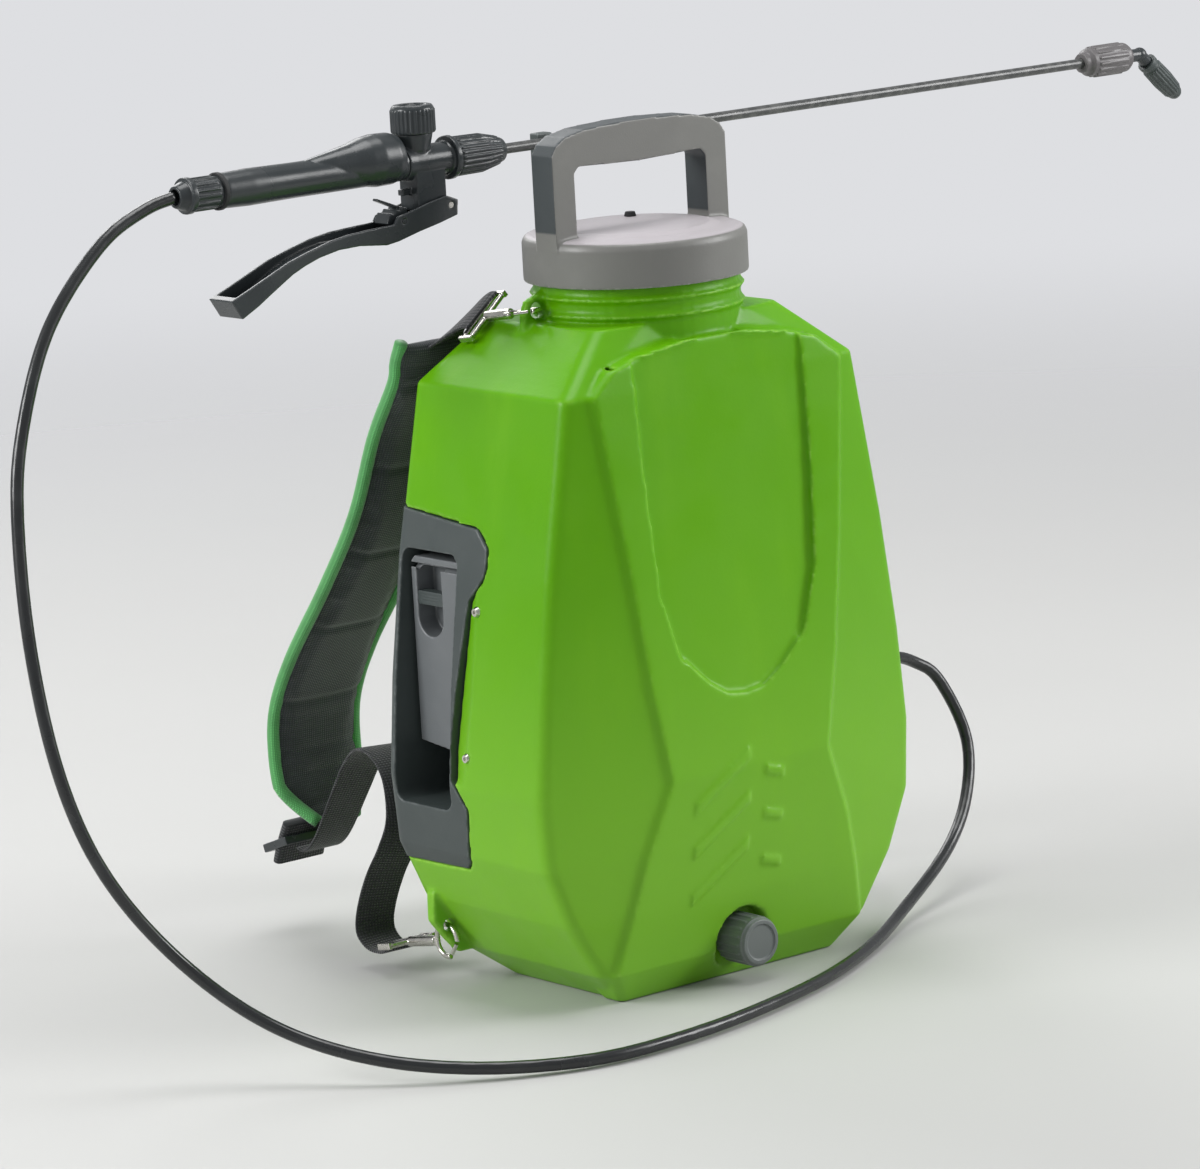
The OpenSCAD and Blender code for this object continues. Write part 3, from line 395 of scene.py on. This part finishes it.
def spline(points, steps):
    """A smooth curve through the points, with steps pieces between each pair."""
    p = [Vector(v) for v in points]
    out = []
    for i in range(len(p) - 1):
        a, b, c, d = p[max(i - 1, 0)], p[i], p[i + 1], p[min(i + 2, len(p) - 1)]
        for k in range(steps):
            t = k / steps
            square = 2 * a - 5 * b + 4 * c - d
            cube = 3 * b - a - 3 * c + d
            out.append(0.5 * (2 * b + (c - a) * t + square * t**2 + cube * t**3))
    return out + [p[-1]]


def even(path, count):
    """path resampled at count evenly spaced points."""
    p = np.array([tuple(v) for v in path])
    run = np.concatenate([[0], np.cumsum(np.linalg.norm(np.diff(p, axis=0), axis=1))])
    at = np.linspace(0, run[-1], count)
    return [Vector(tuple(np.interp(s, run, p[:, k]) for k in range(3))) for s in at], run[-1]


def frames(path, side):
    """For each point of path: the point, its tangent, the side direction and the outward normal."""
    out = []
    for i, point in enumerate(path):
        along = (path[min(i + 1, len(path) - 1)] - path[max(i - 1, 0)]).normalized()
        across = (side - side.dot(along) * along).normalized()
        out.append((point, along, across, along.cross(across)))
    return out


def loft(name, rings):
    """A tube of quads through rings of equal length, with its ends capped."""
    bm = bmesh.new()
    made = [[bm.verts.new(v) for v in ring] for ring in rings]
    n = len(made[0])
    for a, b in zip(made, made[1:]):
        for k in range(n):
            bm.faces.new((a[k], a[(k + 1) % n], b[(k + 1) % n], b[k]))
    bm.faces.new(list(reversed(made[0])))
    bm.faces.new(made[-1])
    bmesh.ops.recalc_face_normals(bm, faces=bm.faces)
    mesh = bpy.data.meshes.new(name)
    bm.to_mesh(mesh)
    bm.free()
    return add_object(name, mesh)


def strap_coords(obj, path, length):
    """Stores each vertex's place across and along the strap, for its weave."""
    p = np.array([tuple(v) for v in path])
    co = coordinates(obj.data)
    nearest = np.array([int(np.argmin(((p[:, 1:] - c[1:]) ** 2).sum(1))) for c in co])
    step = length / (len(p) - 1)
    tangents = unit_tangents(p)
    beyond = ((co - p[nearest]) * tangents[nearest]).sum(1)
    values = np.stack([co[:, 0], nearest * step + beyond, np.zeros(len(co))], axis=1)
    layer = obj.data.attributes.new("strap", "FLOAT_VECTOR", "POINT")
    layer.data.foreach_set("vector", values.astype(np.float32).ravel())


def rounded_band(name, rows, width, thick, crown=0.0, corner=5, taper=None):
    """A flat strap with rounded edges along rows of frames, width across and thick through."""
    rings = []
    count = len(rows)
    for i, (point, _, across, out) in enumerate(rows):
        w = width * (taper(i / (count - 1)) if taper else 1.0)
        half = []
        for k in range(corner + 1):
            a = -math.pi / 2 + math.pi * k / corner
            half.append((w / 2 - thick / 2 + math.cos(a) * thick / 2, math.sin(a) * thick / 2))
        across_steps = [1 - 2 * k / 8 for k in range(1, 8)]
        top = [(s * (w / 2 - thick / 2), thick / 2 + crown * (1 - s * s)) for s in across_steps]
        section = half + top + [(-x, -y) for x, y in half] + [(-x, -y) for x, y in top]
        rings.append([point + across * x + out * y for x, y in section])
    return loft(name, rings)


def joined(name, objects):
    """One object holding the meshes of several."""
    bm = bmesh.new()
    for obj in objects:
        bm.from_mesh(obj.data)
    mesh = bpy.data.meshes.new(name)
    bm.to_mesh(mesh)
    bm.free()
    for obj in objects:
        bpy.data.objects.remove(obj)
    return add_object(name, mesh)


def mirrored(obj, name):
    """A copy of obj mirrored to the other side."""
    mesh = obj.data.copy()
    mesh.transform(Matrix.Scale(-1, 4, (1, 0, 0)))
    mesh.flip_normals()
    return add_object(name, mesh)


# ---- Hard parts -----------------------------------------------------------------


def shelf_top(w):
    """Height inside the wall of the shelf above the badge recess, w millimetres from the middle."""
    return 430.2 - w / 9 if w < 71 else 421.2 - 0.23 * (w - 72)


# Boxes hidden inside the tank's wall, under that shelf.
INNER_BOXES = {
    "tank_shell": [((-w, -73.8, shelf_top(w) - 7), (w, -58, shelf_top(w))) for w in range(12, 82, 3)]
}

# Materials that differ from the node's own slot.
LOOK_OF = {"nozzle_nut": "nut_grey", "drain_cap": "cap_grey"}

# Each moulded part: voxel size in millimetres, smoothing passes and share of faces kept.
MOULDED = {
    "tank_shell": (1.6, 4, 0.3),
    "lid": (1.0, 4, 0.4),
    "drain_cap": (0.5, 2, 0.6),
    "vent_valve": (0.4, 2, 1.0),
    "battery_housing": (0.9, 3, 0.4),
    "battery_pack": (0.7, 3, 0.4),
    "battery_latch": (0.4, 2, 0.6),
    "pump_cover": (1.1, 3, 0.4),
    "power_switch": (0.4, 2, 0.6),
    "pressure_knob": (0.4, 2, 0.6),
    "hose_nut": (0.5, 2, 0.6),
    "lance_holder": (0.7, 3, 0.5),
    "tail_nut": (0.5, 2, 0.6),
    "tail_seal": (0.4, 2, 1.0),
    "trigger_grip": (0.7, 4, 0.5),
    "valve_body": (0.6, 3, 0.5),
    "valve_cap": (0.5, 2, 0.6),
    "trigger_lever": (0.6, 3, 0.5),
    "trigger_lock": (0.35, 2, 0.7),
    "lance_nut": (0.5, 2, 0.6),
    "nozzle_nut": (0.5, 2, 0.6),
    "nozzle_elbow": (0.4, 3, 0.6),
    "nozzle_cap": (0.35, 2, 0.6),
    "nozzle_tip": (0.3, 2, 0.7),
    "strap_buckles": (0.6, 3, 0.6),
    "upper_hooks": (0.45, 4, 0.6),
    "lower_hooks": (0.45, 4, 0.6),
}


def finish_hard_parts():
    for node, (voxel, passes, keep) in MOULDED.items():
        soften(node, voxel, passes, keep, LOOK_OF.get(node))
    for node, obj in NODES.items():
        obj.data.materials.clear()
        obj.data.materials.append(MATERIALS[SLOT_OF[node]])
    NODES["lance_tube"].data.materials[0] = MATERIALS["lance_black"]


# ---- Hose ---------------------------------------------------------------------------


def make_hose():
    """A smoothed copy of the hose, which runs from its outlet on the tank to the trigger grip."""
    obj = cad_copy("hose", "hose_smooth")
    rounder = obj.modifiers.new("rounder", "SUBSURF")
    rounder.levels = rounder.render_levels = 2
    bake(obj)
    finish_piece(obj, "hose_black", None, ("hose",))
    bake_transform(obj)


# ---- Harness ---------------------------------------------------------------------------

# Sizes in millimetres; channels in metres along the pad.
PAD_WIDTH = 76
PAD_THICK = 7.5
PAD_CROWN = 1.0
PAD_CHANNELS = [0.03, 0.10, 0.17, 0.24, 0.31, 0.35, 0.39]
BINDING_WIDTH = 9
BINDING_THICK = 8.6
BINDING_INSET = 3.4
WEB_THICK = 1.8
UPPER_WEB_WIDTH = 34
LOWER_WEB_WIDTH = 30
FOLD_WIDTH = 42
FOLD_THICK = 7
PAD_PATH = [
    (92, 428), (99, 414), (103, 400), (128, 362), (155, 306), (194, 252), (236, 200), (259, 160), (263, 125),
    (257, 98), (243, 80)
]
UPPER_WEB_PATH = [
    (-84, 58.5, 446.6), (-84.5, 66, 445.4), (-88, 77, 438), (-91, 88, 428), (-92, 96, 419.2),
    (-92, 98.3, 416.8)
]
LOWER_WEB_PATH = [
    (-133.5, 117, 23), (-133.5, 117, 18.5), (-133.5, 121, 16.2), (-133.5, 130, 14), (-133.5, 142, 15.5),
    (-133.5, 151, 24), (-133, 149, 40), (-132, 138, 64), (-130, 124, 86), (-127, 117, 106), (-124, 122, 130),
    (-120, 138, 143), (-116, 160, 146), (-112, 182, 132), (-109, 205, 104), (-107, 228, 74), (-106, 243, 62),
    (-106, 252, 63)
]
FOLD_PATH = [(-106, 257, 80), (-106, 262, 71), (-106, 267, 61), (-106, 271, 51)]


def metres(points):
    return [(x * MM, y * MM, z * MM) for x, y, z in points]


def turning(path, across_at):
    """Frames along path whose across direction is across_at(fraction of the path)."""
    out = []
    for i, point in enumerate(path):
        along = (path[min(i + 1, len(path) - 1)] - path[max(i - 1, 0)]).normalized()
        across = across_at(i / (len(path) - 1)).normalized()
        out.append((point, along, across, along.cross(across).normalized()))
    return out


def upper_turn(t):
    """The upper webbing leaves its hook tilted and comes down level on the pad."""
    angle = math.radians(38)
    first = Vector((math.cos(angle), 0, math.sin(angle)))
    return first + (Vector((1, 0, 0)) - first) * t**2


def lower_turn(t):
    """The lower webbing hangs slightly turned between the hook and the buckle."""
    angle = math.radians(18) * math.sin(math.pi * t)
    return Vector((math.cos(angle), -math.sin(angle), 0))


def level(_):
    """A strip that lies level from side to side all along its path."""
    return Vector((1, 0, 0))


def puff(obj, pressure=4.0, cap=0.004, voxel=0.0045, steps=20):
    """Swells a closed pad as filled cloth and keeps every point within cap of its start."""
    remesh = obj.modifiers.new("remesh", "REMESH")
    remesh.mode = "VOXEL"
    remesh.voxel_size = voxel
    bake(obj)
    start = coordinates(obj.data)
    cloth = obj.modifiers.new("cloth", "CLOTH")
    cloth.settings.use_pressure = True
    cloth.settings.uniform_pressure_force = pressure
    cloth.settings.effector_weights.gravity = 0
    cloth.point_cache.frame_start = 1
    cloth.point_cache.frame_end = steps
    for number in range(1, steps + 1):
        scene.frame_set(number)
    bake(obj)
    scene.frame_set(1)
    shift = coordinates(obj.data) - start
    far = np.linalg.norm(shift, axis=1, keepdims=True)
    shift *= np.minimum(1.0, cap / np.maximum(far, 1e-9))
    obj.data.vertices.foreach_set("co", (start + shift).ravel())
    finer = obj.modifiers.new("finer", "SUBSURF")
    finer.levels = finer.render_levels = 1
    return bake(obj)


def pad_taper(t):
    """Share of the full width at the fraction t of the pad: its lower end draws in."""
    return min(1.0, 0.5 + (1 - t) / 0.075 * 0.5)


def make_pad(side, node, x):
    """A padded shoulder strap with stitched cross channels and wide bound edges."""
    centre = spline(metres([(x, y, z) for y, z in PAD_PATH]), 8)
    points, length = even(centre, 90)
    rows = frames(points, Vector((1, 0, 0)))
    pad = rounded_band("pad_" + side, rows, PAD_WIDTH * MM, PAD_THICK * MM, PAD_CROWN * MM, taper=pad_taper)
    puff(pad)
    channel(pad, points, length, PAD_CHANNELS)
    strap_coords(pad, points, length)
    finish_piece(pad, "strap_fabric", "tank", (node,))
    rims = []
    for edge in (-1, 1):
        rim = [
            p + Vector((edge * (PAD_WIDTH * pad_taper(i / (len(points) - 1)) / 2 - BINDING_INSET) * MM, 0, 0))
            for i, p in enumerate(points)
        ]
        rim_rows = frames(rim, Vector((1, 0, 0)))
        rims.append(rounded_band("rim", rim_rows, BINDING_WIDTH * MM, BINDING_THICK * MM, corner=8))
    piping = joined("piping_" + side, rims)
    strap_coords(piping, points, length)
    finish_piece(piping, "piping_green", "tank", ())


def channel(obj, path, length, places, depth=0.0016, width=0.006):
    """Presses sewn channels across the pad at the given places along it."""
    p = np.array([tuple(v) for v in path])
    step = length / (len(p) - 1)
    tangents = unit_tangents(p)
    for vertex in obj.data.vertices:
        c = np.array(vertex.co)
        i = int(np.argmin(((p[:, 1:] - c[1:]) ** 2).sum(1)))
        along = i * step + float((c - p[i]) @ tangents[i])
        press = sum(math.exp(-((along - place) / width * 1.8) ** 2) for place in places)
        inward = p[i] - c
        inward[0] = 0
        inward -= (inward @ tangents[i]) * tangents[i]
        size = np.linalg.norm(inward)
        if size > 0.0005:
            vertex.co += Vector(tuple(inward / size * min(1.0, press) * depth))


def make_webs(name, strips, nodes):
    """Webbing on both sides as one piece, from strips of points, width, across direction and thickness."""
    parts = []
    for points, width, across_at, thick in strips:
        path, length = even(spline(metres(points), 8), 120)
        left = rounded_band("web", turning(path, across_at), width * MM, thick * MM)
        strap_coords(left, path, length)
        parts += [left, mirrored(left, "web_right")]
    finish_piece(joined(name, parts), "webbing", "tank", nodes)


def make_harness():
    low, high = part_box("shoulder_pad_left")
    x = (low.x + high.x) / 2 / MM
    make_pad("left", "shoulder_pad_left", x)
    make_pad("right", "shoulder_pad_right", -x)
    upper = [(UPPER_WEB_PATH, UPPER_WEB_WIDTH, upper_turn, WEB_THICK)]
    lower = [
        (LOWER_WEB_PATH, LOWER_WEB_WIDTH, lower_turn, WEB_THICK),
        (FOLD_PATH, FOLD_WIDTH, level, FOLD_THICK),
    ]
    make_webs("web_upper", upper, ("upper_webbing",))
    make_webs("web_lower", lower, ("lower_webbing",))


# ---- Studio --------------------------------------------------------------------------------

CAMERA_AZIMUTH = math.radians(-39.26)
CAMERA_ELEVATION = math.radians(10.85)
CAMERA_ROLL = math.radians(-3.14)
CAMERA_DISTANCE = 3.871
CAMERA_LENS = 175.5
CAMERA_SIDE = -0.0349
CAMERA_HEIGHT = 0.2582

# Each lamp: its place and size in metres, and its power in watts.
LAMPS = {
    "left": ((-2.6, 0.9, 1.5), 1.4, 62),
    "right": ((2.2, -1.7, 1.5), 1.6, 62),
    "top": ((0.2, 0.1, 2.8), 1.6, 34),
    "back": ((0.6, 2.4, 1.8), 1.6, 26),
}

# Strength of the surroundings as light on the object, and as seen by the camera.
WORLD_LIGHT = 0.42
WORLD_SEEN = 0.76
FLOOR_HEIGHT = -0.0005


def make_camera():
    a, e, r = CAMERA_AZIMUTH, CAMERA_ELEVATION, CAMERA_ROLL
    back = Vector((math.sin(a) * math.cos(e), -math.cos(a) * math.cos(e), math.sin(e)))
    target = Vector((CAMERA_SIDE * math.cos(a), CAMERA_SIDE * math.sin(a), CAMERA_HEIGHT))
    right = (-back).cross(Vector((0, 0, 1))).normalized()
    up = right.cross(-back)
    turned_right = right * math.cos(r) + up * math.sin(r)
    turned_up = up * math.cos(r) - right * math.sin(r)
    camera = bpy.data.objects.new("camera", bpy.data.cameras.new("camera"))
    rows = [(turned_right[k], turned_up[k], back[k]) for k in range(3)]
    camera.matrix_world = Matrix.Translation(target + back * CAMERA_DISTANCE) @ Matrix(rows).to_4x4()
    camera.data.lens = CAMERA_LENS
    camera.data.sensor_width = 36
    camera.data.clip_end = 30
    scene.collection.objects.link(camera)
    scene.camera = camera


def make_light(name, place, size, power):
    lamp = bpy.data.lights.new(name, "AREA")
    lamp.shape = "DISK"
    lamp.size = size
    lamp.energy = power
    obj = bpy.data.objects.new(name, lamp)
    obj.location = place
    obj.rotation_euler = (Vector((0, 0, 0.25)) - Vector(place)).to_track_quat("-Z", "Y").to_euler()
    scene.collection.objects.link(obj)


def make_studio():
    mesh = bpy.data.meshes.new("studio_floor")
    bm = bmesh.new()
    bmesh.ops.create_circle(bm, cap_ends=True, segments=96, radius=4.0)
    bm.to_mesh(mesh)
    bm.free()
    floor = add_object("studio_floor", mesh)
    floor.data.materials.append(floor_paint())
    floor.location.z = FLOOR_HEIGHT
    world = bpy.data.worlds.new("studio")
    world.use_nodes = True
    tree = world.node_tree
    background = tree.nodes["Background"]
    background.inputs["Color"].default_value = (0.96, 0.97, 1.0, 1)
    seen = tree.nodes.new("ShaderNodeLightPath")
    strength = tree.nodes.new("ShaderNodeMapRange")
    strength.inputs["To Min"].default_value = WORLD_LIGHT
    strength.inputs["To Max"].default_value = WORLD_SEEN
    tree.links.new(seen.outputs["Is Camera Ray"], strength.inputs["Value"])
    tree.links.new(strength.outputs["Result"], background.inputs["Strength"])
    scene.world = world
    for name, (place, size, power) in LAMPS.items():
        make_light(name, place, size, power)
    scene.view_settings.view_transform = "Standard"


# ---- Build --------------------------------------------------------------------------------------

finish_hard_parts()
make_hose()
make_harness()
make_camera()
make_studio()
